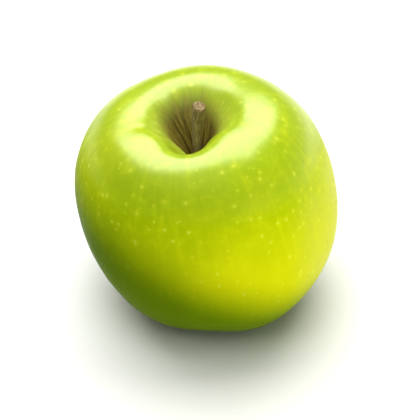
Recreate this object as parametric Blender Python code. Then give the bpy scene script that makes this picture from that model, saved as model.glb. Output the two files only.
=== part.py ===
"""A whole green apple standing on the five lobes of its base, with its stem and its dried flower parts.

The fruit is an outline turned round the upright axis, then given five soft ribs, a furrow in the front
lip of the stem cavity and a lean to the left that fades out towards the base. All sizes are in metres
with Z up. The apple stands on Z = 0 and the middle of its box, seen from above, is at X = Y = 0.
"""

import math

import bmesh
import bpy
from mathutils import Matrix, Vector

MM = 0.001

# Outline of the fruit before it leans
FRUIT_RADIUS = 38.5 * MM
FRUIT_HEIGHT = 69.0 * MM
WIDEST_SHARE = 0.51
RIM_RADIUS = 17.2 * MM
BASE_RADIUS = 10.9 * MM
SHOULDER_FULLNESS = (0.545, 0.596)
FLANK_FULLNESS = (0.479, 0.582)

# Stem cavity: a wide flare down to a neck, then a steep funnel to the foot of the stem
FLARE_PULL = 5.2 * MM
NECK_RADIUS = 6.5 * MM
NECK_DEPTH = 9.9 * MM
NECK_LEAD_IN = (1.0 * MM, 2.0 * MM)
FUNNEL_RADIUS = 2.4 * MM
FUNNEL_DEPTH = 18.5 * MM
FUNNEL_LEAD_IN = (0.4 * MM, 2.5 * MM)

# Basin under the fruit and the flower tube at its middle
BASIN_DEPTH = 6.0 * MM
BASIN_PULL = 5.0 * MM
BASIN_END_PULL = 1.25 * MM
CALYX_RADIUS = 4.2 * MM
TUBE_RADIUS = 2.2 * MM
TUBE_DEPTH = 3.4 * MM

# Five ribs, highest at their crests; the first crest is turned from +X towards +Y
RIB_COUNT = 5
RIB_TURN = math.radians(12.0)
RIB_SWELL = 0.008
LOBE_RISE = 1.2 * MM
LOBE_REACH = 0.35
RIM_DIP = 0.6 * MM
RIM_DIP_RADIUS = 13.8 * MM
RIM_DIP_SPREAD = 9.5 * MM

# Furrow that runs over the front lip of the stem cavity
FURROW_TURN = math.radians(265.6)
FURROW_WIDTH = math.radians(27.0)
FURROW_DEPTH = 5.6 * MM
FURROW_RADIUS = 11.8 * MM
FURROW_SPREAD = 7.2 * MM

# Share of the height from which, and over which, the top changes set in
CROWN_START = 0.62
CROWN_SPAN = 0.30

# Lean of the upper fruit, as an angle towards a direction turned from +X
LEAN = math.radians(6.8)
LEAN_TURN = math.radians(159.0)
LEAN_FULL_AT = 0.757

# Flat spots that the base lobes stand on
FLAT_DEPTH = 0.35 * MM

# Stem: radii from foot to cut end, and where its end stands above its foot
STEM_FOOT_RADIUS = 1.45 * MM
STEM_WAIST_RADIUS = 1.3 * MM
STEM_END_RADIUS = 1.95 * MM
STEM_END_OFFSET = Vector((0.4, 1.8, 18.8)) * MM
STEM_BOW = Vector((-0.9, -0.4, 0.0)) * MM
STEM_SINK = 2.5 * MM
STEM_LEAD = 5.0 * MM
STEM_CUT_LEAN = math.radians(14.0)
STEM_WAIST_AT = 0.35
STEM_WIDENS_AT = 0.55

# Room left between neighbouring solids
GAP = 0.3 * MM

# Dried flower parts in the basin: a sepal's middle line is given as radius and height
SEPAL_COUNT = 5
SEPAL_TURN = math.radians(48.0)
SEPAL_LINE = (
    (3.3 * MM, BASIN_DEPTH - GAP),
    (3.4 * MM, 4.2 * MM),
    (1.3 * MM, 3.2 * MM),
    (2.3 * MM, 1.3 * MM))
SEPAL_HALF_WIDTH = 1.5 * MM
SEPAL_TIP_HALF_WIDTH = 0.2 * MM
SEPAL_TAPER = 1.4
SEPAL_THICKNESS = 0.5 * MM
SEPAL_CUP = 0.35 * MM

# Tuft of dried stamens: widths as shares of its radius, at shares of its length
TUFT_RADIUS = 1.1 * MM
TUFT_LENGTH = 4.0 * MM
TUFT_SHAPE = ((0.0, 0.75), (0.12, 1.0), (0.45, 0.95), (0.75, 0.8), (0.93, 0.55), (1.0, 0.2))

# Colours and roughness of the three finishes
SKIN_COLOUR = (0.45, 0.56, 0.02)
SKIN_ROUGHNESS = 0.3
BARK_COLOUR = (0.20, 0.14, 0.05)
BARK_ROUGHNESS = 0.8
DRIED_COLOUR = (0.16, 0.12, 0.07)
DRIED_ROUGHNESS = 0.9

# Fineness of the meshes
TURN_STEPS = 80
FUNNEL_STEPS = 6
FLARE_STEPS = 9
SHOULDER_STEPS = 12
FLANK_STEPS = 15
BASIN_STEPS = 7
MERGE_DISTANCE = 0.01 * MM
CUT_TOLERANCE = 0.001 * MM
STEM_SIDES = 14
STEM_STATIONS = 15
SEPAL_COLUMNS = 4
SEPAL_ROWS = 7
TUFT_SIDES = 12


def clear_scene():
    """Remove every object that the scene starts with."""
    for old in list(bpy.data.objects):
        bpy.data.objects.remove(old, do_unlink=True)


def make_material(name, colour, roughness):
    """Make a plain Principled material."""
    material = bpy.data.materials.new(name)
    material.use_nodes = True
    shader = material.node_tree.nodes["Principled BSDF"]
    shader.inputs["Base Color"].default_value = (*colour, 1.0)
    shader.inputs["Roughness"].default_value = roughness
    shader.inputs["Metallic"].default_value = 0.0
    material.diffuse_color = (*colour, 1.0)
    return material


def finish_object(name, mesh_builder, material):
    """Turn a bmesh into a smooth-shaded object whose faces point out."""
    bmesh.ops.recalc_face_normals(mesh_builder, faces=mesh_builder.faces)
    mesh = bpy.data.meshes.new(name)
    mesh_builder.to_mesh(mesh)
    mesh_builder.free()
    mesh.materials.append(material)
    mesh.shade_smooth()
    bpy.context.scene.collection.objects.link(bpy.data.objects.new(name, mesh))


def ease(value):
    """Go smoothly from 0 to 1 as value does, and stay there outside."""
    value = min(max(value, 0.0), 1.0)
    return value * value * (3.0 - 2.0 * value)


def curve_point(corners, share):
    """Point at a share of a cubic curve that is given by its start, two pulls and its end."""
    rest = 1.0 - share
    weights = (rest ** 3, 3 * rest ** 2 * share, 3 * rest * share ** 2, share ** 3)
    return tuple(sum(w * c for w, c in zip(weights, column)) for column in zip(*corners))


def curve_points(start, pull_start, pull_end, end, steps):
    """Evenly shared points of a cubic curve, without its start."""
    corners = (start, pull_start, pull_end, end)
    return [curve_point(corners, step / steps) for step in range(1, steps + 1)]


def close_openings(builder):
    """Fill every open loop of edges with one flat face."""
    open_edges = [edge for edge in builder.edges if edge.is_boundary]
    bmesh.ops.holes_fill(builder, edges=open_edges, sides=0)


def fruit_outline():
    """Half outline of the fruit as (radius, height), from the foot of the stem round to the flower tube."""
    widest = WIDEST_SHARE * FRUIT_HEIGHT
    floor = FRUIT_HEIGHT - FUNNEL_DEPTH
    pit_radius = STEM_FOOT_RADIUS + GAP
    pit_floor = floor - STEM_SINK - GAP
    funnel_foot = (FUNNEL_RADIUS, floor)
    neck = (NECK_RADIUS, FRUIT_HEIGHT - NECK_DEPTH)
    rim = (RIM_RADIUS, FRUIT_HEIGHT)
    side = (FRUIT_RADIUS, widest)
    base = (BASE_RADIUS, 0.0)
    calyx = (CALYX_RADIUS, BASIN_DEPTH)
    tube_mouth = (TUBE_RADIUS, BASIN_DEPTH + GAP)
    tube_end = BASIN_DEPTH + TUBE_DEPTH

    outline = [(0.0, pit_floor), (pit_radius, pit_floor), (pit_radius, floor - GAP), funnel_foot]
    outline += curve_points(
        funnel_foot,
        (funnel_foot[0] + FUNNEL_LEAD_IN[0], floor + FUNNEL_LEAD_IN[1]),
        (neck[0] - NECK_LEAD_IN[0], neck[1] - NECK_LEAD_IN[1]),
        neck, FUNNEL_STEPS)
    outline += curve_points(
        neck,
        (neck[0] + NECK_LEAD_IN[0], neck[1] + NECK_LEAD_IN[1]),
        (RIM_RADIUS - FLARE_PULL, FRUIT_HEIGHT),
        rim, FLARE_STEPS)
    outline += curve_points(
        rim,
        (RIM_RADIUS + (FRUIT_RADIUS - RIM_RADIUS) * SHOULDER_FULLNESS[0], FRUIT_HEIGHT),
        (FRUIT_RADIUS, widest + (FRUIT_HEIGHT - widest) * SHOULDER_FULLNESS[1]),
        side, SHOULDER_STEPS)
    outline += curve_points(
        side,
        (FRUIT_RADIUS, widest * (1.0 - FLANK_FULLNESS[0])),
        (BASE_RADIUS + (FRUIT_RADIUS - BASE_RADIUS) * FLANK_FULLNESS[1], 0.0),
        base, FLANK_STEPS)
    outline += curve_points(
        base,
        (BASE_RADIUS - BASIN_PULL, 0.0),
        (CALYX_RADIUS + BASIN_END_PULL, BASIN_DEPTH),
        calyx, BASIN_STEPS)
    outline += [tube_mouth, (TUBE_RADIUS, tube_end), (0.0, tube_end)]
    return outline


def grown_point(x, y, z):
    """Where a point of the evenly turned fruit lies on the real one, with ribs, furrow and lean."""
    radius = math.hypot(x, y)
    turn = math.atan2(y, x)
    level = z / FRUIT_HEIGHT
    crest = math.cos(RIB_COUNT * (turn - RIB_TURN))
    valley = (1.0 - crest) / 2.0
    crown = ease((level - CROWN_START) / CROWN_SPAN)

    swell = 1.0 + RIB_SWELL * crest
    x *= swell
    y *= swell
    z += LOBE_RISE * (1.0 - ease(level / LOBE_REACH)) * valley * ease(radius / BASE_RADIUS)

    rim_bell = math.exp(-((radius - RIM_DIP_RADIUS) / RIM_DIP_SPREAD) ** 2)
    z -= RIM_DIP * rim_bell * crown * valley
    away = math.remainder(turn - FURROW_TURN, math.tau)
    furrow_bell = math.exp(-(away / FURROW_WIDTH) ** 2)
    lip_bell = math.exp(-((radius - FURROW_RADIUS) / FURROW_SPREAD) ** 2)
    z -= FURROW_DEPTH * furrow_bell * lip_bell * crown

    angle = LEAN * ease(level / LEAN_FULL_AT)
    towards = Vector((math.cos(LEAN_TURN), math.sin(LEAN_TURN), 0.0))
    pivot = towards.cross(Vector((0.0, 0.0, 1.0)))
    return Matrix.Rotation(-angle, 3, pivot) @ Vector((x, y, z))


def fruit_mesh():
    """Spin the outline round the axis and grow it into the fruit."""
    builder = bmesh.new()
    points = [builder.verts.new((radius, 0.0, height)) for radius, height in fruit_outline()]
    lines = [builder.edges.new(pair) for pair in zip(points, points[1:])]
    bmesh.ops.spin(
        builder, geom=points + lines, cent=(0, 0, 0), axis=(0, 0, 1),
        angle=math.tau, steps=TURN_STEPS, use_merge=True)
    bmesh.ops.remove_doubles(builder, verts=builder.verts, dist=MERGE_DISTANCE)
    for point in builder.verts:
        point.co = grown_point(*point.co)
    return builder


def cut_flats(builder):
    """Cut the lowest skin of each base lobe away level and close the cuts."""
    geometry = builder.verts[:] + builder.edges[:] + builder.faces[:]
    bmesh.ops.bisect_plane(
        builder, geom=geometry, dist=CUT_TOLERANCE,
        plane_co=(0, 0, FLAT_DEPTH), plane_no=(0, 0, -1), clear_outer=True)
    close_openings(builder)


def standing_point(builder):
    """Point under the middle of the fruit's box, at the level of its flat spots."""
    xs = [point.co.x for point in builder.verts]
    ys = [point.co.y for point in builder.verts]
    return Vector(((min(xs) + max(xs)) / 2, (min(ys) + max(ys)) / 2, FLAT_DEPTH))


def build_fruit(material):
    """The fruit as one solid with its standing point at the origin; gives the shift that put it there."""
    builder = fruit_mesh()
    cut_flats(builder)
    shift = standing_point(builder)
    bmesh.ops.translate(builder, verts=builder.verts, vec=-shift)
    finish_object("fruit", builder, material)
    return shift


def add_ring(builder, centre, direction, radius, sides):
    """Add a ring round a centre, square to a direction, and give its edges."""
    turn = Vector((0.0, 0.0, 1.0)).rotation_difference(direction).to_matrix().to_4x4()
    made = bmesh.ops.create_circle(
        builder, cap_ends=False, radius=radius, segments=sides,
        matrix=Matrix.Translation(centre) @ turn)
    return list({edge for point in made["verts"] for edge in point.link_edges})


def join_rings(builder, rings):
    """Bridge each ring of edges to the next one and close both ends."""
    for lower, upper in zip(rings, rings[1:]):
        bmesh.ops.bridge_loops(builder, edges=lower + upper)
    close_openings(builder)


def stem_radius(share):
    """Radius of the stem at a share of its length: a slim waist that widens to the cut end."""
    waist = STEM_FOOT_RADIUS + (STEM_WAIST_RADIUS - STEM_FOOT_RADIUS) * ease(share / STEM_WAIST_AT)
    widening = ease((share - STEM_WIDENS_AT) / (1.0 - STEM_WIDENS_AT))
    return waist + (STEM_END_RADIUS - STEM_WAIST_RADIUS) * widening


def build_stem(shift, material):
    """A slightly bowed rod from the pit in the cavity's floor to its wider, slanting cut end."""
    floor = grown_point(0.0, 0.0, FRUIT_HEIGHT - FUNNEL_DEPTH)
    foot = grown_point(0.0, 0.0, FRUIT_HEIGHT - FUNNEL_DEPTH - STEM_SINK)
    end = floor + STEM_END_OFFSET
    lead = foot + (floor - foot).normalized() * STEM_LEAD
    bow = (lead + end) / 2 + STEM_BOW
    path = [foot] + [Vector(place) for place in curve_points(foot, lead, bow, end, STEM_STATIONS)]

    builder = bmesh.new()
    rings = []
    last = len(path) - 1
    for index, place in enumerate(path):
        direction = path[min(index + 1, last)] - path[max(index - 1, 0)]
        if index == last:
            direction = Matrix.Rotation(STEM_CUT_LEAN, 3, "X") @ direction
        radius = stem_radius(index / last)
        rings.append(add_ring(builder, place - shift, direction, radius, STEM_SIDES))
    join_rings(builder, rings)
    finish_object("stem", builder, material)


def build_sepal(number, shift, material):
    """One thin curled leaf of the dried flower, hanging in the basin with its tip turned out."""
    builder = bmesh.new()
    bmesh.ops.create_grid(builder, x_segments=SEPAL_COLUMNS, y_segments=SEPAL_ROWS, size=0.5)
    round_axis = Matrix.Rotation(SEPAL_TURN + math.tau * number / SEPAL_COUNT, 3, "Z")
    for point in builder.verts:
        across = 2.0 * point.co.x
        share = point.co.y + 0.5
        radius, height = curve_point(SEPAL_LINE, share)
        narrowing = (SEPAL_HALF_WIDTH - SEPAL_TIP_HALF_WIDTH) * share ** SEPAL_TAPER
        side = across * (SEPAL_HALF_WIDTH - narrowing)
        point.co = round_axis @ Vector((radius - SEPAL_CUP * across ** 2, side, height)) - shift
    bmesh.ops.recalc_face_normals(builder, faces=builder.faces)
    bmesh.ops.solidify(builder, geom=builder.faces, thickness=SEPAL_THICKNESS)
    finish_object(f"sepal_{number + 1}", builder, material)


def build_tuft(shift, material):
    """The dried stamens as one slim plug that hangs out of the flower tube."""
    top = BASIN_DEPTH + TUBE_DEPTH - GAP
    builder = bmesh.new()
    rings = []
    for share, width in TUFT_SHAPE:
        place = Vector((0.0, 0.0, top - TUFT_LENGTH * share)) - shift
        rings.append(add_ring(builder, place, Vector((0.0, 0.0, 1.0)), TUFT_RADIUS * width, TUFT_SIDES))
    join_rings(builder, rings)
    finish_object("stamen_tuft", builder, material)


def main():
    """Build the apple from its fruit outwards."""
    clear_scene()
    skin = make_material("skin", SKIN_COLOUR, SKIN_ROUGHNESS)
    bark = make_material("stem_bark", BARK_COLOUR, BARK_ROUGHNESS)
    dried = make_material("dried_flower", DRIED_COLOUR, DRIED_ROUGHNESS)

    shift = build_fruit(skin)
    build_stem(shift, bark)
    build_tuft(shift, dried)
    for number in range(SEPAL_COUNT):
        build_sepal(number, shift, dried)


main()
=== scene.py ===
# %% [markdown]
# # A green apple on a white table
#
# The apple has a waxy yellow-green skin with fine pale dots, a deep cavity round its stem and the dried
# rest of the flower underneath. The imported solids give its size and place. This lesson models the same
# forms again with finer meshes, because only a fine mesh has the smooth outline and the small creases of
# real fruit, and then it mixes the finishes from procedural textures.

# %% Load the frame
import math

import bmesh
import bpy
from mathutils import Matrix, Vector, noise


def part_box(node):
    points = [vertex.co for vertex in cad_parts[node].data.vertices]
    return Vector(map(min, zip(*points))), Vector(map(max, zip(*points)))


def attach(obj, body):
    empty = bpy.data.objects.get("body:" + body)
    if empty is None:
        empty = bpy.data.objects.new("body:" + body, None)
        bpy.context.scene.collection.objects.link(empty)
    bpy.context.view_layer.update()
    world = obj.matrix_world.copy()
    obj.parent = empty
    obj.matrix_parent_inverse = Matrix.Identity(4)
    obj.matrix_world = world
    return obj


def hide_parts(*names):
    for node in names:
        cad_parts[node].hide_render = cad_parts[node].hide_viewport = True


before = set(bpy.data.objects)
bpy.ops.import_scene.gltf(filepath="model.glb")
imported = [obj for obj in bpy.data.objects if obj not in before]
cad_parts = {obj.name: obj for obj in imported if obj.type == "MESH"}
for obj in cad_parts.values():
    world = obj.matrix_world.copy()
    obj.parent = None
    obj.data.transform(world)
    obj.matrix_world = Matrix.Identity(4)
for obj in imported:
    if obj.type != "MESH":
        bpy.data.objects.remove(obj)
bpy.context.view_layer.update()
MM = 0.001

# %% [markdown]
# ## The outline of the fruit
#
# An apple grows round an axis, so half of its outline says nearly everything. It could be sculpted, or
# drawn as a curve and turned by a Screw modifier. Here the outline is worked out from five smooth curves
# in a row: the funnel at the stem, the flare up to the rim, the shoulder, the flank and the basin below.
# Each curve needs only its two ends and two pulls, so the shape stays easy to change.

# %% Sizes of the outline
FRUIT_RADIUS = 38.5 * MM
FRUIT_HEIGHT = 69.0 * MM
WIDEST = 0.51 * FRUIT_HEIGHT
RIM_RADIUS = 17.2 * MM
BASE_RADIUS = 10.9 * MM
SHOULDER_FULLNESS = (0.545, 0.596)
FLANK_FULLNESS = (0.479, 0.582)
FLARE_PULL = 5.2 * MM
NECK_RADIUS = 6.5 * MM
NECK_DEPTH = 9.9 * MM
NECK_LEAD_IN = (1.0 * MM, 2.0 * MM)
FUNNEL_RADIUS = 2.4 * MM
FUNNEL_DEPTH = 18.5 * MM
FUNNEL_LEAD_IN = (0.4 * MM, 2.5 * MM)
BASIN_DEPTH = 6.0 * MM
BASIN_PULL = 5.0 * MM
BASIN_END_PULL = 1.25 * MM
CALYX_RADIUS = 4.2 * MM
TUBE_LIP = (3.4 * MM, 2.4 * MM)
TUBE_RADIUS = 2.2 * MM
TUBE_DEPTH = 3.4 * MM
STEM_FOOT_RADIUS = 1.45 * MM
GAP = 0.3 * MM


def ease(value):
    """Go smoothly from 0 to 1 as value does, and stay there outside."""
    value = min(max(value, 0.0), 1.0)
    return value * value * (3.0 - 2.0 * value)


def curve_point(corners, share):
    """Point at a share of a cubic curve that is given by its start, two pulls and its end."""
    rest = 1.0 - share
    weights = (rest ** 3, 3 * rest ** 2 * share, 3 * rest * share ** 2, share ** 3)
    return tuple(sum(w * c for w, c in zip(weights, column)) for column in zip(*corners))


def curve_points(start, pull_start, pull_end, end, steps):
    """Evenly shared points of a cubic curve, without its start."""
    corners = (start, pull_start, pull_end, end)
    return [curve_point(corners, step / steps) for step in range(1, steps + 1)]


# %% Steps along the outline
FUNNEL_STEPS = 22
FLARE_STEPS = 30
SHOULDER_STEPS = 42
FLANK_STEPS = 50
BASIN_STEPS = 24
TUBE_STEPS = 4


def fruit_outline():
    """Half outline as (radius, height), from the stem's foot round to the end of the flower tube."""
    floor = FRUIT_HEIGHT - FUNNEL_DEPTH
    funnel_foot = (FUNNEL_RADIUS, floor)
    neck = (NECK_RADIUS, FRUIT_HEIGHT - NECK_DEPTH)
    rim = (RIM_RADIUS, FRUIT_HEIGHT)
    side = (FRUIT_RADIUS, WIDEST)
    base = (BASE_RADIUS, 0.0)
    calyx = (CALYX_RADIUS, BASIN_DEPTH)
    outline = [(0.0, floor - GAP), (STEM_FOOT_RADIUS, floor - GAP), funnel_foot]
    outline += curve_points(
        funnel_foot,
        (funnel_foot[0] + FUNNEL_LEAD_IN[0], floor + FUNNEL_LEAD_IN[1]),
        (neck[0] - NECK_LEAD_IN[0], neck[1] - NECK_LEAD_IN[1]),
        neck, FUNNEL_STEPS)
    outline += curve_points(
        neck,
        (neck[0] + NECK_LEAD_IN[0], neck[1] + NECK_LEAD_IN[1]),
        (RIM_RADIUS - FLARE_PULL, FRUIT_HEIGHT),
        rim, FLARE_STEPS)
    outline += curve_points(
        rim,
        (RIM_RADIUS + (FRUIT_RADIUS - RIM_RADIUS) * SHOULDER_FULLNESS[0], FRUIT_HEIGHT),
        (FRUIT_RADIUS, WIDEST + (FRUIT_HEIGHT - WIDEST) * SHOULDER_FULLNESS[1]),
        side, SHOULDER_STEPS)
    outline += curve_points(
        side,
        (FRUIT_RADIUS, WIDEST * (1.0 - FLANK_FULLNESS[0])),
        (BASE_RADIUS + (FRUIT_RADIUS - BASE_RADIUS) * FLANK_FULLNESS[1], 0.0),
        base, FLANK_STEPS)
    outline += curve_points(
        base,
        (BASE_RADIUS - BASIN_PULL, 0.0),
        (CALYX_RADIUS + BASIN_END_PULL, BASIN_DEPTH),
        calyx, BASIN_STEPS)
    tube_mouth = (TUBE_RADIUS, BASIN_DEPTH + GAP)
    tube_end = (TUBE_RADIUS, BASIN_DEPTH + TUBE_DEPTH)
    outline += curve_points(
        calyx,
        (TUBE_LIP[0], BASIN_DEPTH),
        (TUBE_LIP[1], BASIN_DEPTH),
        tube_mouth, TUBE_STEPS)
    outline += curve_points(tube_mouth, tube_mouth, tube_end, tube_end, TUBE_STEPS)
    outline.append((0.0, BASIN_DEPTH + TUBE_DEPTH))
    return outline


outline = fruit_outline()
print("points along the outline:", len(outline))

# %% [markdown]
# ## How the turned shape grows uneven
#
# A lathe gives a perfect shape, and fruit isn't perfect. This one has five soft ribs that end in five lobes
# underneath, a furrow that runs over the front lip of the stem cavity, and a lean to the left. A lattice
# or sculpting could do it by hand. A small function that says where each point of the even shape ends up
# does it in a way that the stem can use too, so that it stays in place.

# %% Ribs, furrow and lean
RIB_COUNT = 5
RIB_TURN = math.radians(12.0)
RIB_SWELL = 0.008
LOBE_RISE = 1.2 * MM
LOBE_REACH = 0.35
RIM_DIP = 0.6 * MM
RIM_DIP_RADIUS = 13.8 * MM
RIM_DIP_SPREAD = 9.5 * MM
FURROW_TURN = math.radians(265.6)
FURROW_WIDTH = math.radians(27.0)
FURROW_DEPTH = 5.6 * MM
FURROW_RADIUS = 11.8 * MM
FURROW_SPREAD = 7.2 * MM
CROWN_START = 0.62
CROWN_SPAN = 0.30
LEAN = math.radians(6.8)
LEAN_TURN = math.radians(159.0)
LEAN_FULL_AT = 0.757


def bell(value, middle, spread):
    """One at the middle, fading to nothing on both sides."""
    return math.exp(-((value - middle) / spread) ** 2)


def grown_point(x, y, z):
    """Where a point of the evenly turned fruit lies on the real one."""
    radius = math.hypot(x, y)
    turn = math.atan2(y, x)
    level = z / FRUIT_HEIGHT
    crest = math.cos(RIB_COUNT * (turn - RIB_TURN))
    valley = (1.0 - crest) / 2.0
    crown = ease((level - CROWN_START) / CROWN_SPAN)
    swell = 1.0 + RIB_SWELL * crest
    x *= swell
    y *= swell
    z += LOBE_RISE * (1.0 - ease(level / LOBE_REACH)) * valley * ease(radius / BASE_RADIUS)
    z -= RIM_DIP * bell(radius, RIM_DIP_RADIUS, RIM_DIP_SPREAD) * crown * valley
    away = math.remainder(turn - FURROW_TURN, math.tau)
    lip = bell(away, 0.0, FURROW_WIDTH) * bell(radius, FURROW_RADIUS, FURROW_SPREAD)
    z -= FURROW_DEPTH * lip * crown
    angle = LEAN * ease(level / LEAN_FULL_AT)
    towards = Vector((math.cos(LEAN_TURN), math.sin(LEAN_TURN), 0.0))
    pivot = towards.cross(Vector((0.0, 0.0, 1.0)))
    return Matrix.Rotation(-angle, 3, pivot) @ Vector((x, y, z))


print("stem foot grows at:", [round(c / MM, 1) for c in grown_point(0, 0, FRUIT_HEIGHT - FUNNEL_DEPTH)])

# %% [markdown]
# ## Small relief of the skin
#
# Close up, the skin has shallow dents, a small crease where the left shoulder folds into the cavity, and
# fine ridges that run down the funnel. They could be bump in the material, but then the outline and the
# exported mesh would stay smooth. So the larger ones move points here, by a fraction of a millimetre.

# %% Dents, crease and funnel ridges
DENT_SIZE = 22.0 * MM
DENT_DEPTH = 0.35 * MM
RIPPLE_SIZE = 7.0 * MM
RIPPLE_DEPTH = 0.07 * MM
CREASE_TURN = math.radians(203.0)
CREASE_WIDTH = math.radians(6.0)
CREASE_RADIUS = 13.5 * MM
CREASE_SPREAD = 3.6 * MM
CREASE_DEPTH = 0.5 * MM
RIDGES = 34
RIDGE_HEIGHT = 0.16 * MM
RIDGE_RADIUS = 4.5 * MM
RIDGE_SPREAD = 4.5 * MM
BASIN_FOLDS = 15
BASIN_FOLD_HEIGHT = 0.16 * MM
BASIN_FOLD_RADIUS = 6.0 * MM
BASIN_FOLD_SPREAD = 2.4 * MM
RIPPLE_SHIFT = Vector((7.0, 3.0, 1.0))
TOP_SPAN = 0.2
BOTTOM_SPAN = 0.12
WANDER_ROUND = 2.0
WANDER_UP = 9.0
RIDGE_WANDER = 6.0
FOLD_WANDER = 5.0
LINE_STRENGTH = 0.6
CALM_RADIUS = 6.0 * MM
LOWER_HALF = 0.5


def skin_relief(place, radius, turn, level):
    """How far the skin stands out from the even form at a point."""
    dent = noise.noise(place / DENT_SIZE) * DENT_DEPTH
    ripple = noise.noise(place / RIPPLE_SIZE + RIPPLE_SHIFT) * RIPPLE_DEPTH
    top = ease((level - CROWN_START) / TOP_SPAN)
    away = math.remainder(turn - CREASE_TURN, math.tau)
    crease = bell(away, 0.0, CREASE_WIDTH) * bell(radius, CREASE_RADIUS, CREASE_SPREAD) * top
    way = Vector((math.cos(turn) * WANDER_ROUND, math.sin(turn) * WANDER_ROUND, level * WANDER_UP))
    wander = noise.noise(way)
    ridge = math.sin(RIDGES * turn + RIDGE_WANDER * wander) * (LINE_STRENGTH + wander)
    funnel = bell(radius, RIDGE_RADIUS, RIDGE_SPREAD) * top
    fold = math.sin(BASIN_FOLDS * turn + FOLD_WANDER * wander) * (LINE_STRENGTH + wander)
    basin = bell(radius, BASIN_FOLD_RADIUS, BASIN_FOLD_SPREAD) * (1.0 - ease(level / BOTTOM_SPAN))
    calm = ease(radius / CALM_RADIUS) if level < LOWER_HALF else 1.0
    lines = ridge * funnel * RIDGE_HEIGHT + fold * basin * BASIN_FOLD_HEIGHT
    return (dent + ripple) * calm - crease * CREASE_DEPTH + lines


# %% Spin the skin
TURN_STEPS = 280
FLAT_DEPTH = 0.35 * MM
SAME_PLACE = 0.001 * MM
WALK_UNIT = 100 * MM


def arc_lengths(points):
    """Length walked along the outline at each of its points."""
    walked = [0.0]
    for (r0, z0), (r1, z1) in zip(points, points[1:]):
        walked.append(walked[-1] + math.hypot(r1 - r0, z1 - z0))
    return walked


def spin_outline(points):
    """A closed shell turned from an outline, with its walked length kept on every point."""
    shell = bmesh.new()
    walk_layer = shell.verts.layers.float.new("walked")
    chain = []
    for (radius, height), walked in zip(points, arc_lengths(points)):
        point = shell.verts.new((radius, 0.0, height))
        point[walk_layer] = walked
        chain.append(point)
    lines = [shell.edges.new(pair) for pair in zip(chain, chain[1:])]
    bmesh.ops.spin(
        shell, geom=chain + lines, cent=(0, 0, 0), axis=(0, 0, 1),
        angle=math.tau, steps=TURN_STEPS, use_merge=True)
    bmesh.ops.remove_doubles(shell, verts=shell.verts, dist=SAME_PLACE)
    return shell


skin_shell = spin_outline(outline)
print("points on the skin:", len(skin_shell.verts))

# %% Grow the skin
walk_layer = skin_shell.verts.layers.float["walked"]
growth_layer = skin_shell.verts.layers.float_vector.new("growth")
bmesh.ops.recalc_face_normals(skin_shell, faces=skin_shell.faces)
relief = []
for point in skin_shell.verts:
    radius = math.hypot(point.co.x, point.co.y)
    turn = math.atan2(point.co.y, point.co.x)
    relief.append(skin_relief(point.co, radius, turn, point.co.z / FRUIT_HEIGHT))
    point[growth_layer] = (math.cos(turn), math.sin(turn), point[walk_layer] / WALK_UNIT)
    point.co = grown_point(*point.co)
skin_shell.normal_update()
for point, height in zip(skin_shell.verts, relief):
    point.co += point.normal * height
for point in skin_shell.verts:
    point.co.z = max(point.co.z - FLAT_DEPTH, 0.0)

xs = [point.co.x for point in skin_shell.verts]
ys = [point.co.y for point in skin_shell.verts]
solid_low, solid_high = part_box("fruit")
shift = Vector((
    (solid_low[0] + solid_high[0]) / 2 - (min(xs) + max(xs)) / 2,
    (solid_low[1] + solid_high[1]) / 2 - (min(ys) + max(ys)) / 2,
    0.0))
bmesh.ops.translate(skin_shell, verts=skin_shell.verts, vec=shift)
shift.z = -FLAT_DEPTH
print("shift of the fruit in mm:", [round(c / MM, 2) for c in shift])


# %% A helper that finishes a piece
def finish_piece(name, shell, material, nodes):
    """Make a smooth object from a bmesh, give it its material and tell the frame what it is."""
    bmesh.ops.recalc_face_normals(shell, faces=shell.faces)
    mesh = bpy.data.meshes.new(name)
    shell.to_mesh(mesh)
    shell.free()
    mesh.shade_smooth()
    mesh.materials.append(material)
    piece = bpy.data.objects.new(name, mesh)
    bpy.context.scene.collection.objects.link(piece)
    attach(piece, "root")
    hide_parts(*nodes)
    print(name, "has", len(mesh.polygons), "faces")


# %% [markdown]
# ## Nodes without the mouse
#
# A material is a graph of nodes. Drawing it by hand is quick to learn and slow to repeat, so a few short
# helpers add a node, set its values and link it in one line. Every texture reads Object coordinates or the
# growth attribute, which stay with the surface wherever the camera goes.

# %% Node helpers
def new_graph(name):
    """A new material with its Principled shader at hand."""
    material = bpy.data.materials.new(name)
    material.use_nodes = True
    return material, material.node_tree, material.node_tree.nodes["Principled BSDF"]


def put(tree, socket, value):
    """Link a socket to an input, or set a plain value."""
    if isinstance(value, bpy.types.NodeSocket):
        tree.links.new(value, socket)
    else:
        socket.default_value = value


def add_noise(tree, vector, scale, detail=2.0, roughness=0.5, distortion=0.0):
    """Soft noise between 0 and 1."""
    node = tree.nodes.new("ShaderNodeTexNoise")
    put(tree, node.inputs["Vector"], vector)
    node.inputs["Scale"].default_value = scale
    node.inputs["Detail"].default_value = detail
    node.inputs["Roughness"].default_value = roughness
    node.inputs["Distortion"].default_value = distortion
    return node.outputs["Fac"]


def add_math(tree, operation, first, second=0.0, clamp=False):
    """One sum of two numbers."""
    node = tree.nodes.new("ShaderNodeMath")
    node.operation = operation
    node.use_clamp = clamp
    put(tree, node.inputs[0], first)
    put(tree, node.inputs[1], second)
    return node.outputs[0]


def add_ramp(tree, value, low, high, start=0.0, end=1.0):
    """Stretch a value from low..high to start..end, smoothly and no further."""
    node = tree.nodes.new("ShaderNodeMapRange")
    node.interpolation_type = "SMOOTHSTEP"
    put(tree, node.inputs["Value"], value)
    node.inputs["From Min"].default_value = low
    node.inputs["From Max"].default_value = high
    node.inputs["To Min"].default_value = start
    node.inputs["To Max"].default_value = end
    return node.outputs["Result"]


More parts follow.
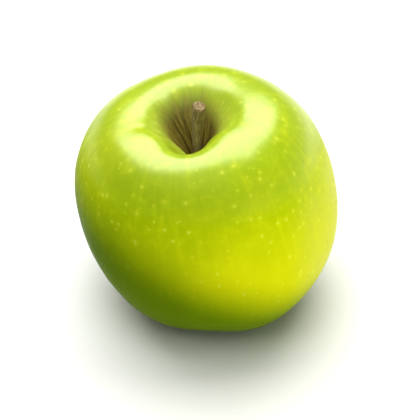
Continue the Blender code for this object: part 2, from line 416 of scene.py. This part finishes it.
def add_mix(tree, share, first, second, blend="MIX"):
    """Mix two colours."""
    node = tree.nodes.new("ShaderNodeMix")
    node.data_type = "RGBA"
    node.blend_type = blend
    colour_inputs = [socket for socket in node.inputs if socket.type == "RGBA"]
    put(tree, node.inputs["Factor"], share)
    for socket, value in zip(colour_inputs, (first, second)):
        put(tree, socket, value)
    return next(socket for socket in node.outputs if socket.type == "RGBA")


def add_bump(tree, height, strength, distance, normal=None):
    """Tilt the surface's shading by a height."""
    node = tree.nodes.new("ShaderNodeBump")
    node.inputs["Strength"].default_value = strength
    node.inputs["Distance"].default_value = distance
    put(tree, node.inputs["Height"], height)
    if normal is not None:
        put(tree, node.inputs["Normal"], normal)
    return node.outputs["Normal"]


def add_growth(tree):
    """The growth attribute: cosine and sine of the turn, and the walk from the stem in WALK_UNIT."""
    node = tree.nodes.new("ShaderNodeAttribute")
    node.attribute_name = "growth"
    parts = tree.nodes.new("ShaderNodeSeparateXYZ")
    tree.links.new(node.outputs["Vector"], parts.inputs[0])
    return node.outputs["Vector"], parts.outputs


def add_scaled(tree, vector, factors):
    """Stretch a vector by a factor along each axis."""
    node = tree.nodes.new("ShaderNodeVectorMath")
    node.operation = "MULTIPLY"
    put(tree, node.inputs[0], vector)
    node.inputs[1].default_value = factors
    return node.outputs[0]


def add_dot(tree, vector, direction):
    """How far a point lies along a direction."""
    node = tree.nodes.new("ShaderNodeVectorMath")
    node.operation = "DOT_PRODUCT"
    put(tree, node.inputs[0], vector)
    node.inputs[1].default_value = direction
    return node.outputs["Value"]


def object_point(tree):
    """Position of the shaded point in the object's own space, in metres."""
    return tree.nodes.new("ShaderNodeTexCoord").outputs["Object"]


print("node helpers ready")

# %% [markdown]
# ## The skin's finish
#
# A green apple is yellow-green where the sun reached it. Here its yellow, towards the lower front right,
# is partly painted light, and the shady side and the base get a painted shade of deeper green. Over
# that lie a paler cheek, faint streaks from stem to base, tiny pale pores with soft halos, painted light as
# a pale bloom on the cavity's walls and brown russet down the funnel. One flat green would look like
# plastic, so every layer is mixed in with its own texture. The wax is the shader's coat. It is thickest at
# the top, so the shine gathers round the cavity, and the flanks stay soft.

# %% The ground colour
SKIN_GREEN = (0.340, 0.450, 0.002, 1.0)
SKIN_YELLOW = (0.600, 0.620, 0.004, 1.0)
SKIN_PALE = (0.660, 0.700, 0.015, 1.0)
CHEEK_PALE = (0.620, 0.640, 0.190, 1.0)
# Yellower towards the lower front right: partly the ripe colour, partly painted light.
RIPE_AND_PAINTED_LIGHT_SIDE = Vector((0.3, -0.5, -1.0))
RIPE_AND_PAINTED_LIGHT_RANGE = (-58 * MM, -5 * MM)
CLOUD_SCALE = 26.0
CLOUD_CHANGE = 0.22
CHEEK_SIDE = Vector((1.0, 0.1, 0.0))
CHEEK_RANGE = (19 * MM, 38 * MM)
CHEEK_SHARE = 0.55
PATCH_SCALE = 60.0
STREAK_STRETCH = (9.0, 9.0, 1.6)
STREAK_SCALE = 1.6
STREAK_SHARE = 0.22
MOTTLE_SCALE = 330.0
MOTTLE_SHARE = 0.20


def paint_ground(tree, place, growth):
    """Green to yellow with soft clouds, partly ripe colour and partly painted light, a pale cheek, streaks
    and a fine mottle.
    """
    # Yellow share: partly ripe colour, partly painted light towards the lower front right.
    ripe_and_painted_light = add_ramp(tree, add_dot(tree, place, RIPE_AND_PAINTED_LIGHT_SIDE), *RIPE_AND_PAINTED_LIGHT_RANGE)
    cloud = add_noise(tree, place, CLOUD_SCALE, 3.0)
    cloud = add_ramp(tree, cloud, 0.3, 0.7, -CLOUD_CHANGE, CLOUD_CHANGE)
    yellow_and_painted_light = add_math(tree, "ADD", ripe_and_painted_light, cloud, clamp=True)
    colour = add_mix(tree, yellow_and_painted_light, SKIN_GREEN, SKIN_YELLOW)

    cheek = add_ramp(tree, add_dot(tree, place, CHEEK_SIDE), *CHEEK_RANGE, 0.0, CHEEK_SHARE)
    patches = add_noise(tree, place, PATCH_SCALE, 3.0, 0.6)
    patches = add_ramp(tree, patches, 0.35, 0.65, 0.65, 1.0)
    colour = add_mix(tree, add_math(tree, "MULTIPLY", cheek, patches), colour, CHEEK_PALE)

    streak = add_noise(tree, add_scaled(tree, growth, STREAK_STRETCH), STREAK_SCALE, 4.0, 0.6)
    streak = add_ramp(tree, streak, 0.45, 0.80, 0.0, STREAK_SHARE)
    colour = add_mix(tree, streak, colour, SKIN_PALE)
    mottle = add_noise(tree, place, MOTTLE_SCALE, 3.0, 0.6)
    mottle = add_ramp(tree, mottle, 0.45, 0.75, 0.0, MOTTLE_SHARE)
    return add_mix(tree, mottle, colour, SKIN_PALE)


# %% [markdown]
# ### Pores
#
# The pale dots are the pores through which the fruit breathes. They could be scattered as points, but a
# Voronoi texture gives them for nothing: it knows the distance to the nearest of many random middles. That
# distance is divided by a size that changes slowly, so that the dots come out uneven.

# %% Pores and their halos
PORE_PALE = (0.720, 0.750, 0.130, 1.0)
PORE_SCALE = 330.0
PORE_SIZE_SCALE = 160.0
PORE_SIZES = (0.08, 0.24)
SMALL_PORES_WALK = (0.85, 1.20)
PORE_SHARE = 0.32
HALO_SHARE = 0.11


def paint_pores(tree, place, walked, colour):
    """Pale pores of uneven size, smaller low down, each with a faint halo."""
    pores = tree.nodes.new("ShaderNodeTexVoronoi")
    put(tree, pores.inputs["Vector"], place)
    pores.inputs["Scale"].default_value = PORE_SCALE
    size = add_ramp(tree, add_noise(tree, place, PORE_SIZE_SCALE, 1.0), 0.30, 0.70, *PORE_SIZES)
    size = add_math(tree, "MULTIPLY", size, add_ramp(tree, walked, *SMALL_PORES_WALK, 1.0, 0.5))
    far = add_math(tree, "DIVIDE", pores.outputs["Distance"], size)
    colour = add_mix(tree, add_ramp(tree, far, 0.8, 3.0, HALO_SHARE, 0.0), colour, SKIN_PALE)
    return add_mix(tree, add_ramp(tree, far, 0.4, 1.3, PORE_SHARE, 0.0), colour, PORE_PALE)


# %% Painted shade and painted light in the cavity
# Painted shade: a deeper green multiplied onto the shady side and the base.
PAINTED_SHADE_TINT = (0.27, 0.39, 0.05, 1.0)
PAINTED_SHADE_SIDE = Vector((-0.45, -0.12, -1.0))
PAINTED_SHADE_RANGE = (-40 * MM, -15 * MM)
# Painted light: a pale tone that brightens the walls of the cavity.
CAVITY_PAINTED_LIGHT = (0.740, 0.780, 0.240, 1.0)
CAVITY_LIGHT_WALK = (0.10, 0.27)
CAVITY_LIGHT_SHARE = 0.45


def paint_shade_and_cavity_light(tree, place, walked, colour):
    """Painted shade: a deeper green on the shady side and the base. Painted light: a pale bloom in the
    cavity.
    """
    painted_shade = add_ramp(tree, add_dot(tree, place, PAINTED_SHADE_SIDE), *PAINTED_SHADE_RANGE)
    colour = add_mix(tree, painted_shade, colour, PAINTED_SHADE_TINT, "MULTIPLY")
    # Painted light on the cavity's walls.
    cavity_light = add_ramp(tree, walked, *CAVITY_LIGHT_WALK, CAVITY_LIGHT_SHARE, 0.0)
    return add_mix(tree, cavity_light, colour, CAVITY_PAINTED_LIGHT)


# %% Russet and basin
RUSSET_LIGHT = (0.330, 0.270, 0.060, 1.0)
RUSSET_DARK = (0.080, 0.058, 0.012, 1.0)
RUSSET_SIDE = Vector((-0.02, 0.045, 0.0))
RUSSET_WALK = (0.04, 0.13)
FIBRE_REACH = 0.12
BASIN_GREY = (0.400, 0.410, 0.150, 1.0)
BASIN_WALK = (1.225, 1.285)
BASIN_WAVER = 0.025
BASIN_SHARE = 0.65
TUBE_WALK = (1.29, 1.315)


def paint_russet(tree, growth, walked, fibre, colour):
    """Brown fibrous russet down the funnel, and the share of it at each point."""
    reach = add_math(tree, "MULTIPLY", fibre, FIBRE_REACH)
    reach = add_math(tree, "ADD", reach, add_dot(tree, growth, RUSSET_SIDE))
    reach = add_math(tree, "SUBTRACT", walked, reach)
    russet = add_ramp(tree, reach, *RUSSET_WALK, 1.0, 0.0)
    brown = add_mix(tree, add_ramp(tree, fibre, 0.35, 0.65), RUSSET_DARK, RUSSET_LIGHT)
    return add_mix(tree, russet, colour, brown), russet


def paint_basin(tree, walked, fibre, colour):
    """Grey-green folds in the basin, and brown inside the tube of the dried flower."""
    waver = add_ramp(tree, fibre, 0.3, 0.7, -BASIN_WAVER, BASIN_WAVER)
    folds = add_ramp(tree, add_math(tree, "ADD", walked, waver), *BASIN_WALK, 0.0, BASIN_SHARE)
    colour = add_mix(tree, folds, colour, BASIN_GREY)
    return add_mix(tree, add_ramp(tree, walked, *TUBE_WALK), colour, RUSSET_DARK)


# %% [markdown]
# ### Wax
#
# A rubbed fruit shines where its wax is thick. One gloss for the whole skin would put a veil over the dark
# flanks, so the coat's weight follows the height: none on the flanks, nearly full round the cavity. A fine
# bump stands for the peel's grain, and a coarser one for the fibres of the russet.

# %% The whole finish
FIBRE_STRETCH = (12.0, 12.0, 9.0)
FIBRE_SCALE = 1.4
UP = Vector((0.0, 0.0, 1.0))
WAX_HEIGHTS = (52 * MM, 63 * MM)
WAX_WEIGHT = 0.95
ROUGHNESS_SCALE = 420.0
SKIN_ROUGHNESS = (0.27, 0.36)
RUSSET_ROUGHNESS = 0.4
PEEL_SCALE = 900.0
PEEL_BUMP = (0.08, 0.08 * MM)
RUSSET_BUMP = (0.6, 0.5 * MM)
SKIN_VALUES = {
    "IOR": 1.42,
    "Specular IOR Level": 0.015,
    "Specular Tint": (1.0, 1.0, 0.5, 1.0),
    "Coat Roughness": 0.30,
    "Coat IOR": 2.0,
    "Subsurface Weight": 0.10,
    "Subsurface Radius": (1.0, 0.9, 0.15),
    "Subsurface Scale": 2.5 * MM,
}


def make_skin():
    """Waxy yellow-green skin with streaks, pores and russet in the funnel."""
    material, tree, shader = new_graph("apple_skin")
    place = object_point(tree)
    growth, ways = add_growth(tree)
    walked = ways[2]
    fibre = add_noise(tree, add_scaled(tree, growth, FIBRE_STRETCH), FIBRE_SCALE, 5.0, 0.65)

    colour = paint_ground(tree, place, growth)
    colour = paint_pores(tree, place, walked, colour)
    # Painted shade on the shady side and the base, and painted light in the cavity.
    colour = paint_shade_and_cavity_light(tree, place, walked, colour)
    colour, russet = paint_russet(tree, growth, walked, fibre, colour)
    colour = paint_basin(tree, walked, fibre, colour)
    put(tree, shader.inputs["Base Color"], colour)

    rough = add_noise(tree, place, ROUGHNESS_SCALE, 3.0)
    rough = add_ramp(tree, rough, 0.3, 0.7, *SKIN_ROUGHNESS)
    dull = add_math(tree, "MULTIPLY", russet, RUSSET_ROUGHNESS)
    put(tree, shader.inputs["Roughness"], add_math(tree, "ADD", rough, dull))
    wax = add_ramp(tree, add_dot(tree, place, UP), *WAX_HEIGHTS, 0.0, WAX_WEIGHT)
    put(tree, shader.inputs["Coat Weight"], wax)
    for name, value in SKIN_VALUES.items():
        shader.inputs[name].default_value = value

    normal = add_bump(tree, add_noise(tree, place, PEEL_SCALE, 2.0), *PEEL_BUMP)
    normal = add_bump(tree, add_math(tree, "MULTIPLY", fibre, russet), *RUSSET_BUMP, normal)
    put(tree, shader.inputs["Normal"], normal)
    return material


skin_finish = make_skin()
print("nodes in the skin's finish:", len(skin_finish.node_tree.nodes))
finish_piece("fruit_skin", skin_shell, skin_finish, ["fruit"])

# %% [markdown]
# ## The stem
#
# The stem is a thin woody rod that stands in the cavity. It is slimmest a third of the way up and widens
# into a knob where it once joined the twig, with a pale scar at its end. A curve with a bevel would give an
# even rod. Here its own outline is spun first, knob and scar included, and the straight rod is then bent
# along a curve, so that the ridges of the bark follow the bend.

# %% Sizes and path of the stem
STEM_WAIST_RADIUS = 1.3 * MM
STEM_END_RADIUS = 1.95 * MM
STEM_END_OFFSET = Vector((0.4, 1.8, 18.8)) * MM
STEM_BOW = Vector((-0.9, -0.4, 0.0)) * MM
STEM_SINK = 2.5 * MM
STEM_LEAD = 5.0 * MM
STEM_WAIST_AT = 0.35
STEM_WIDENS_AT = 0.55
STEM_CUT_LEAN = math.radians(14.0)
STEM_ROWS = 110
STEM_SIDES = 48

stem_floor = grown_point(0.0, 0.0, FRUIT_HEIGHT - FUNNEL_DEPTH)
stem_foot = grown_point(0.0, 0.0, FRUIT_HEIGHT - FUNNEL_DEPTH - STEM_SINK)
stem_end = stem_floor + STEM_END_OFFSET
stem_lead = stem_foot + (stem_floor - stem_foot).normalized() * STEM_LEAD
stem_bow = (stem_lead + stem_end) / 2 + STEM_BOW
STEM_CORNERS = (stem_foot, stem_lead, stem_bow, stem_end)


def stem_radius(share):
    """Radius of the stem at a share of its length."""
    waist = STEM_FOOT_RADIUS + (STEM_WAIST_RADIUS - STEM_FOOT_RADIUS) * ease(share / STEM_WAIST_AT)
    widening = ease((share - STEM_WIDENS_AT) / (1.0 - STEM_WIDENS_AT))
    return waist + (STEM_END_RADIUS - STEM_WAIST_RADIUS) * widening


print("stem rises to:", [round(c / MM, 1) for c in stem_end + shift])

# %% Spin and bend the stem
END_ROUNDING = 0.03
END_NARROWING = 0.18
SCAR_RINGS = 10
SCAR_DISH = 0.35 * MM
SCAR_STEEPNESS = 1.6
CUT_LEAN_FROM = 0.86
LOOK_AHEAD = 0.01
BARK_RIDGES = 9
BARK_RIDGE_DEPTH = 0.05
BARK_WANDER = 5.0
BARK_WANDER_UP = 5.0
BARK_WANDER_SCALE = 1.5
BARK_LUMP_SIZE = 1.6 * MM
BARK_LUMP_DEPTH = 0.10


def stem_outline():
    """Half outline of the straight stem as (radius, share of its length), from foot to scar."""
    points = [(0.0, 0.0)]
    for row in range(STEM_ROWS + 1):
        share = row / STEM_ROWS
        past = max(0.0, (share - 1.0 + END_ROUNDING) / END_ROUNDING)
        rounding = math.sqrt(max(0.0, 1.0 - past ** 2))
        points.append((stem_radius(share) * (1.0 - END_NARROWING * (1.0 - rounding)), share))
    edge = points[-1][0]
    for ring in range(1, SCAR_RINGS + 1):
        inward = ring / SCAR_RINGS
        dish = SCAR_DISH * ease(inward * SCAR_STEEPNESS) / STEM_END_OFFSET.length
        points.append((edge * (1.0 - inward), 1.0 - dish))
    return points


def bend_stem(x, y, share):
    """Put a point of the straight stem on the bowed one."""
    here = Vector(curve_point(STEM_CORNERS, share))
    ahead = Vector(curve_point(STEM_CORNERS, share + LOOK_AHEAD)) - here
    turn = Vector((0, 0, 1)).rotation_difference(ahead).to_matrix()
    cut = ease((share - CUT_LEAN_FROM) / (1.0 - CUT_LEAN_FROM))
    slant = Matrix.Rotation(STEM_CUT_LEAN * cut, 3, "X")
    return here + turn @ slant @ Vector((x, y, 0.0)) + shift


# %% Grow the stem
stem_shell = bmesh.new()
share_layer = stem_shell.verts.layers.float_vector.new("bark_way")
chain = [stem_shell.verts.new((radius, 0.0, share)) for radius, share in stem_outline()]
lines = [stem_shell.edges.new(pair) for pair in zip(chain, chain[1:])]
bmesh.ops.spin(
    stem_shell, geom=chain + lines, cent=(0, 0, 0), axis=(0, 0, 1),
    angle=math.tau, steps=STEM_SIDES, use_merge=True)
bmesh.ops.remove_doubles(stem_shell, verts=stem_shell.verts, dist=SAME_PLACE)
for point in stem_shell.verts:
    x, y, share = point.co
    turn = math.atan2(y, x)
    radius = math.hypot(x, y)
    point[share_layer] = (math.cos(turn), math.sin(turn), share)
    way = Vector((math.cos(turn), math.sin(turn), share * BARK_WANDER_UP))
    wander = noise.noise(way * BARK_WANDER_SCALE)
    ridge = BARK_RIDGE_DEPTH * math.sin(BARK_RIDGES * turn + BARK_WANDER * wander)
    place = Vector((x, y, share * STEM_END_OFFSET.length))
    lump = BARK_LUMP_DEPTH * noise.noise(place / BARK_LUMP_SIZE)
    swell = 1.0 + (ridge + lump) * ease(radius / STEM_WAIST_RADIUS)
    point.co = bend_stem(x * swell, y * swell, share)

# %% [markdown]
# ## Bark
#
# The stem is dry and brown, greener low down, streaked along its length, and pale at the scar. The streaks
# follow the rod, so they read the way along the stem that was stored on its points, not plain space.

# %% Bark finish
BARK_BROWN = (0.215, 0.150, 0.070, 1.0)
BARK_GREY = (0.400, 0.345, 0.210, 1.0)
BARK_GREEN = (0.230, 0.260, 0.050, 1.0)
SCAR_TAN = (0.400, 0.325, 0.175, 1.0)
SCAR_DARK = (0.220, 0.155, 0.075, 1.0)


def make_bark():
    """Dry streaked bark, greenish at the foot and pale at the scar."""
    material, tree, shader = new_graph("stem_bark_finish")
    way = tree.nodes.new("ShaderNodeAttribute")
    way.attribute_name = "bark_way"
    parts = tree.nodes.new("ShaderNodeSeparateXYZ")
    tree.links.new(way.outputs["Vector"], parts.inputs[0])
    along = parts.outputs[2]
    streak_place = add_scaled(tree, way.outputs["Vector"], (3.0, 3.0, 4.0))
    streak = add_noise(tree, streak_place, 2.2, 6.0, 0.65)
    colour = add_mix(tree, add_ramp(tree, streak, 0.36, 0.66), BARK_BROWN, BARK_GREY)
    colour = add_mix(tree, add_ramp(tree, along, 0.15, 0.55, 0.55, 0.0), colour, BARK_GREEN)
    speck = add_noise(tree, object_point(tree), 1500.0, 2.0)
    colour = add_mix(tree, add_ramp(tree, speck, 0.55, 0.7, 0.0, 0.5), colour, SCAR_DARK)
    scar = add_ramp(tree, along, 0.955, 0.985)
    scar_tone = add_mix(tree, add_ramp(tree, speck, 0.35, 0.6), SCAR_TAN, SCAR_DARK)
    colour = add_mix(tree, scar, colour, scar_tone)
    put(tree, shader.inputs["Base Color"], colour)
    put(tree, shader.inputs["Roughness"], add_ramp(tree, streak, 0.3, 0.7, 0.55, 0.85))
    normal = add_bump(tree, streak, 0.7, 0.25 * MM)
    normal = add_bump(tree, speck, 0.3, 0.08 * MM, normal)
    put(tree, shader.inputs["Normal"], normal)
    return material


bark_finish = make_bark()
print("nodes in the bark's finish:", len(bark_finish.node_tree.nodes))
finish_piece("fruit_stem", stem_shell, bark_finish, ["stem"])

# %% [markdown]
# ## The dried flower
#
# In the basin underneath, five small sepals of the flower are still there, dry, folded inwards and curled
# out at their tips, round a tuft of dead stamens. Each sepal starts as a flat grid, is bent along a curve
# and crumpled a little with noise, and only then gets its thickness.

# %% Sizes of the sepals
SEPAL_COUNT = 5
SEPAL_TURN = math.radians(48.0)
SEPAL_LINE = (
    (3.3 * MM, BASIN_DEPTH - GAP),
    (3.4 * MM, 4.2 * MM),
    (1.3 * MM, 3.2 * MM),
    (2.3 * MM, 1.3 * MM))
SEPAL_HALF_WIDTH = 1.75 * MM
SEPAL_TIP_HALF_WIDTH = 0.16 * MM
SEPAL_TAPER = 2.4
SEPAL_THICKNESS = 0.22 * MM
SEPAL_CUP = 0.35 * MM
SEPAL_MIDRIB = 0.16 * MM
SEPAL_MIDRIB_WIDTH = 0.14
SEPAL_COLUMNS = 24
SEPAL_ROWS = 44
CRUMPLE_SIZE = 1.6 * MM
CRUMPLE_DEPTH = 0.30 * MM
CRUMPLE_STEP = 5.0
CRUMPLE_FADE = 0.5
VEINS = 7
VEIN_HEIGHT = 0.035 * MM
print("widest sepal in mm:", round(2 * SEPAL_HALF_WIDTH / MM, 1))

# %% Dry leaf finish
DRY_BROWN = (0.120, 0.075, 0.035, 1.0)
DRY_GREY = (0.300, 0.270, 0.170, 1.0)
DRY_GREEN = (0.200, 0.220, 0.070, 1.0)


def make_dry_leaf():
    """Dry grey-brown leaf with a rest of green."""
    material, tree, shader = new_graph("dry_leaf")
    place = object_point(tree)
    patch = add_noise(tree, place, 700.0, 4.0, 0.6)
    fine = add_noise(tree, place, 2600.0, 3.0, 0.6)
    colour = add_mix(tree, add_ramp(tree, patch, 0.35, 0.65), DRY_BROWN, DRY_GREY)
    colour = add_mix(tree, add_ramp(tree, fine, 0.5, 0.75, 0.0, 0.6), colour, DRY_GREEN)
    put(tree, shader.inputs["Base Color"], colour)
    put(tree, shader.inputs["Roughness"], add_ramp(tree, fine, 0.3, 0.7, 0.7, 0.95))
    put(tree, shader.inputs["Normal"], add_bump(tree, fine, 0.6, 0.12 * MM))
    return material


# %% Sepals
def sepal_shell(number):
    """One crumpled sepal as a thin closed shell."""
    shell = bmesh.new()
    bmesh.ops.create_grid(shell, x_segments=SEPAL_COLUMNS, y_segments=SEPAL_ROWS, size=0.5)
    round_axis = Matrix.Rotation(SEPAL_TURN + math.tau * number / SEPAL_COUNT, 3, "Z")
    for point in shell.verts:
        across = 2.0 * point.co.x
        share = point.co.y + 0.5
        radius, height = curve_point(SEPAL_LINE, share)
        narrowing = (SEPAL_HALF_WIDTH - SEPAL_TIP_HALF_WIDTH) * share ** SEPAL_TAPER
        side = across * (SEPAL_HALF_WIDTH - narrowing)
        radius -= SEPAL_CUP * across ** 2
        radius += SEPAL_MIDRIB * bell(across, 0.0, SEPAL_MIDRIB_WIDTH)
        radius += VEIN_HEIGHT * math.cos(VEINS * math.pi * across)
        place = round_axis @ Vector((radius, side, height))
        crumple = noise.noise_vector(place / CRUMPLE_SIZE + Vector((number * CRUMPLE_STEP, 0.0, 0.0)))
        place += crumple * CRUMPLE_DEPTH * ease(share * 2.0) * (1.0 - CRUMPLE_FADE * share)
        point.co = place + shift
    bmesh.ops.recalc_face_normals(shell, faces=shell.faces)
    bmesh.ops.solidify(shell, geom=shell.faces, thickness=SEPAL_THICKNESS)
    return shell


dry_leaf = make_dry_leaf()
for number in range(SEPAL_COUNT):
    finish_piece(
        f"dried_sepal_{number + 1}", sepal_shell(number), dry_leaf,
        [f"sepal_{number + 1}"])

# %% Stamens
STAMEN_COUNT = 19
STAMEN_RADIUS = 0.11 * MM
STAMEN_LENGTH = 4.2 * MM
STAMEN_SPREAD = 0.85 * MM
STAMEN_SIDES = 7
STAMEN_TAPER = 0.7
STAMEN_CHANGE = 0.18
STAMEN_RHYTHM = 2.3
STAMEN_LEAN = 0.16
ANTHER_RADIUS = 0.22 * MM
GOLDEN_TURN = math.radians(137.5)


def stamen_bundle():
    """Thin dead stamens, spread evenly by the golden angle, each with a small dry head."""
    shell = bmesh.new()
    top = BASIN_DEPTH + TUBE_DEPTH
    for number in range(STAMEN_COUNT):
        spread = math.sqrt((number + 0.5) / STAMEN_COUNT)
        turn = number * GOLDEN_TURN
        foot = Vector((math.cos(turn), math.sin(turn), 0.0)) * STAMEN_SPREAD * spread
        length = STAMEN_LENGTH * (1.0 - STAMEN_CHANGE * (1.0 - math.sin(number * STAMEN_RHYTHM)))
        hinge = Vector((math.sin(turn), -math.cos(turn), 0.0))
        lean = Matrix.Rotation(STAMEN_LEAN * spread, 4, hinge)
        middle = foot + Vector((0.0, 0.0, top - length / 2)) + shift
        place = Matrix.Translation(middle) @ lean
        bmesh.ops.create_cone(
            shell, cap_ends=True, segments=STAMEN_SIDES, radius1=STAMEN_RADIUS * STAMEN_TAPER,
            radius2=STAMEN_RADIUS, depth=length, matrix=place)
        head = place @ Vector((0.0, 0.0, -length / 2))
        bmesh.ops.create_icosphere(
            shell, subdivisions=2, radius=ANTHER_RADIUS, matrix=Matrix.Translation(head))
    return shell


finish_piece("dried_stamens", stamen_bundle(), dry_leaf, ["stamen_tuft"])

# %% [markdown]
# ## The table, the light and the camera
#
# The photo was taken on a white table under one very large soft light above and behind the fruit, so the
# rim of the cavity shines and a soft shadow lies below. Here a big area light hangs overhead. Two smaller
# ones, above the front and low at the right, lift the front and the edge. They are hidden from
# reflections, so that they brighten the skin without a second shine. The white table sends light back up.
# Last, a view gamma below one deepens the middle tones, which gives the photo's strong contrast.

# %% Table
FLOOR_SIZE = 6.0
FLOOR_WHITE = (0.76, 0.76, 0.755, 1.0)
FLOOR_ROUGHNESS = 0.6

floor_shell = bmesh.new()
bmesh.ops.create_grid(floor_shell, x_segments=1, y_segments=1, size=FLOOR_SIZE / 2)
floor_mesh = bpy.data.meshes.new("table_top")
floor_shell.to_mesh(floor_mesh)
floor_shell.free()
floor = bpy.data.objects.new("table_top", floor_mesh)
bpy.context.scene.collection.objects.link(floor)
floor_material, _, floor_shader = new_graph("table_white")
floor_shader.inputs["Base Color"].default_value = FLOOR_WHITE
floor_shader.inputs["Roughness"].default_value = FLOOR_ROUGHNESS
floor_mesh.materials.append(floor_material)
print("table is", FLOOR_SIZE, "m wide")


# %% Lights
def add_area_light(name, place, aim, size, power, colour):
    """A soft rectangular light that looks at a point."""
    data = bpy.data.lights.new(name, "AREA")
    data.shape = "RECTANGLE"
    data.size, data.size_y = size
    data.energy = power
    data.color = colour
    lamp = bpy.data.objects.new(name, data)
    lamp.location = place
    lamp.rotation_euler = (Vector(aim) - Vector(place)).to_track_quat("-Z", "Y").to_euler()
    bpy.context.scene.collection.objects.link(lamp)
    return lamp


AIM = (0.0, 0.0, 0.035)
LAMP_WHITE = (1.0, 1.0, 0.98)
WORLD_WHITE = (1.0, 1.0, 1.0, 1.0)
WORLD_STRENGTH = 0.15
# Name, place, size, power, and whether reflections show it
LAMPS = (
    ("overhead_softbox", (-0.07, 0.46, 0.94), (1.60, 1.20), 21.5, True),
    ("top_fill", (-0.12, -0.50, 1.10), (1.00, 0.80), 8.0, False),
    ("right_fill", (0.95, -0.70, 0.22), (1.10, 0.30), 8.2, False),
)
for name, place, size, power, shows in LAMPS:
    lamp = add_area_light(name, place, AIM, size, power, LAMP_WHITE)
    lamp.visible_glossy = shows

world = bpy.data.worlds.new("studio")
bpy.context.scene.world = world
world.use_nodes = True
sky = world.node_tree.nodes["Background"]
sky.inputs["Color"].default_value = WORLD_WHITE
sky.inputs["Strength"].default_value = WORLD_STRENGTH
print("lamps:", len(LAMPS))

# %% Camera
PHOTO_ELEVATION = math.radians(40.0)
CAMERA_DISTANCE = 0.8
PIXELS_PER_METRE = 3350.0
FRAME_PIXELS = 420
SENSOR_WIDTH = 36.0
LOOK_AT = Vector((0.001, 0.0, 0.031))
VIEW_GAMMA = 0.8

camera_data = bpy.data.cameras.new("photo_camera")
camera_data.sensor_width = SENSOR_WIDTH
camera_data.lens = PIXELS_PER_METRE * CAMERA_DISTANCE / FRAME_PIXELS * SENSOR_WIDTH
camera = bpy.data.objects.new("photo_camera", camera_data)
towards_camera = Vector((0.0, -math.cos(PHOTO_ELEVATION), math.sin(PHOTO_ELEVATION)))
camera.location = LOOK_AT + towards_camera * CAMERA_DISTANCE
camera.rotation_euler = (math.pi / 2 - PHOTO_ELEVATION, 0.0, 0.0)
bpy.context.scene.collection.objects.link(camera)
bpy.context.scene.camera = camera
bpy.context.scene.view_settings.view_transform = "Standard"
bpy.context.scene.view_settings.gamma = VIEW_GAMMA
print("lens in mm:", round(camera_data.lens, 1))
